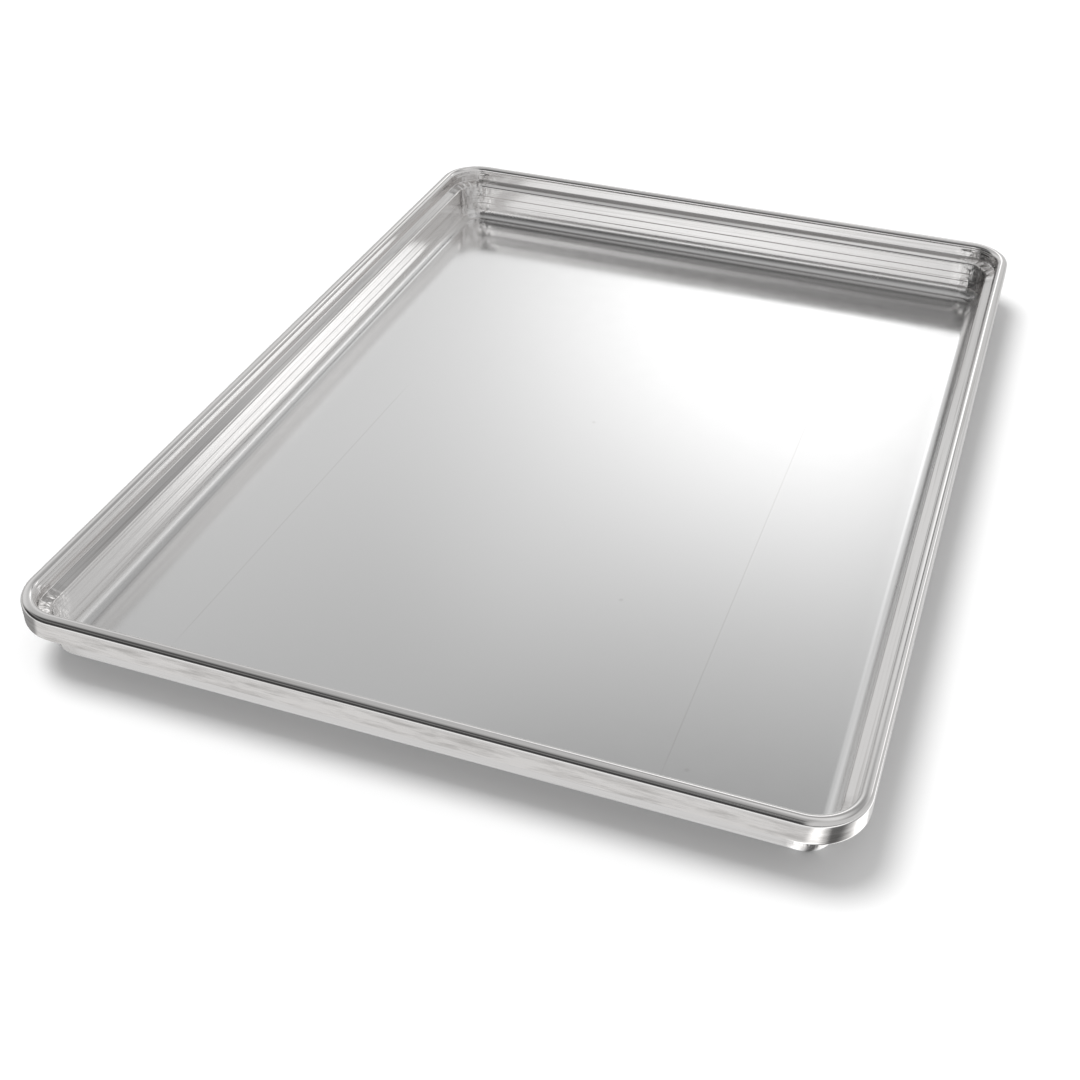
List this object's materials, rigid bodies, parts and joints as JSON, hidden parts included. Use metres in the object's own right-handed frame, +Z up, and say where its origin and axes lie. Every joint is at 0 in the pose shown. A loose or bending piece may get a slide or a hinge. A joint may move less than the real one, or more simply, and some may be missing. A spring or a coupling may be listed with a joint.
{
  "type": "half-size sheet pan",
  "caption": "Shallow rectangular baking sheet of drawn aluminium with coved walls, a stacking ledge and an edge rolled over a rim wire.",
  "frame": {"origin": "middle of the pan on the underside of its floor", "axes": "+Z up out of the pan, +Y along the long sides away from the viewer, +X along the short sides to the right"},
  "size_m": [0.327, 0.454, 0.0286],
  "materials": {
    "pan_aluminium": "satin",
    "wire_steel": "dull galvanised"
  },
  "bodies": {
    "root": {"pan_body": "pan_aluminium", "rim_wire": "wire_steel"}
  },
  "joints": []
}
